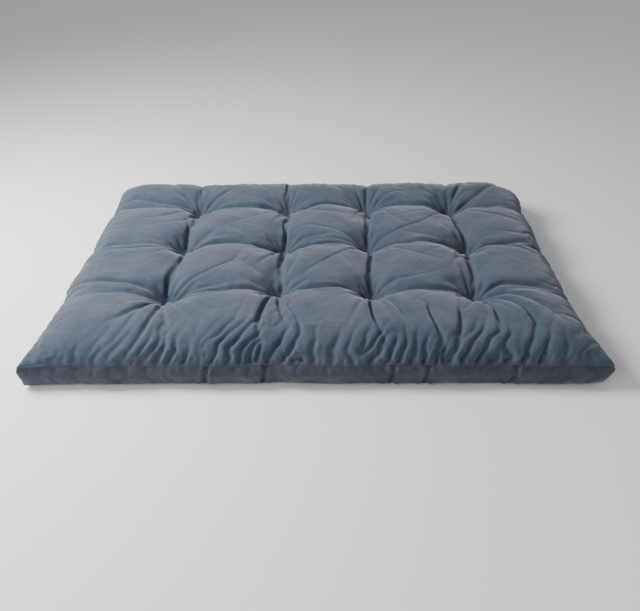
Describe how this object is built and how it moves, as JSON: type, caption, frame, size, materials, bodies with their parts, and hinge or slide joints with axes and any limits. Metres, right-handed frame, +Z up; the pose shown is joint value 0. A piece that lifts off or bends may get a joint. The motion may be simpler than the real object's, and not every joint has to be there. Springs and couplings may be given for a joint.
{
  "type": "futon mattress",
  "caption": "Tufted double futon mattress in brushed slate-blue fabric: soft layered filling in a boxed cover, tied through in rows, folding along its middle row of tufts.",
  "frame": {"origin": "middle of the flat underside, on the surface that the mattress lies on", "axes": "+X along the length and the fold line, +Y from the front (seat) edge to the rear (back) edge, +Z up towards the crowns"},
  "size_m": [1.9, 1.37, 0.172],
  "materials": {
    "cover_cloth": "matte",
    "boxing_cloth": "matte",
    "base_cloth": "matte",
    "batting": "matte",
    "foam": "matte",
    "twine": "satin",
    "felt": "matte"
  },
  "bodies": {
    "seat_half": {"top_panel_seat": "cover_cloth", "front_boxing": "boxing_cloth", "left_boxing_seat": "boxing_cloth", "right_boxing_seat": "boxing_cloth", "base_panel_seat": "base_cloth", "upper_outer_batt_seat": "batting", "upper_inner_batt_seat": "batting", "foam_core_seat": "foam", "lower_inner_batt_seat": "batting", "lower_outer_batt_seat": "batting", "tuft_tie_front_1": "twine", "tuft_tie_front_2": "twine", "tuft_tie_front_3": "twine", "tuft_tie_front_4": "twine", "tuft_tie_middle_1": "twine", "tuft_tie_middle_2": "twine", "tuft_tie_middle_3": "twine", "tuft_tie_middle_4": "twine", "felt_washer_front_1": "felt", "felt_washer_front_2": "felt", "felt_washer_front_3": "felt", "felt_washer_front_4": "felt", "felt_washer_middle_1": "felt", "felt_washer_middle_2": "felt", "felt_washer_middle_3": "felt", "felt_washer_middle_4": "felt"},
    "back_half": {"top_panel_back": "cover_cloth", "rear_boxing": "boxing_cloth", "left_boxing_back": "boxing_cloth", "right_boxing_back": "boxing_cloth", "base_panel_back": "base_cloth", "upper_outer_batt_back": "batting", "upper_inner_batt_back": "batting", "foam_core_back": "foam", "lower_inner_batt_back": "batting", "lower_outer_batt_back": "batting", "tuft_tie_rear_1": "twine", "tuft_tie_rear_2": "twine", "tuft_tie_rear_3": "twine", "tuft_tie_rear_4": "twine", "felt_washer_rear_1": "felt", "felt_washer_rear_2": "felt", "felt_washer_rear_3": "felt", "felt_washer_rear_4": "felt"}
  },
  "joints": [
    {"name": "fold", "type": "hinge", "parent": "seat_half", "child": "back_half", "pos_m": [0, 0.08, 0.086], "axis": [1, 0, 0], "range_deg": [0, 75]}
  ]
}
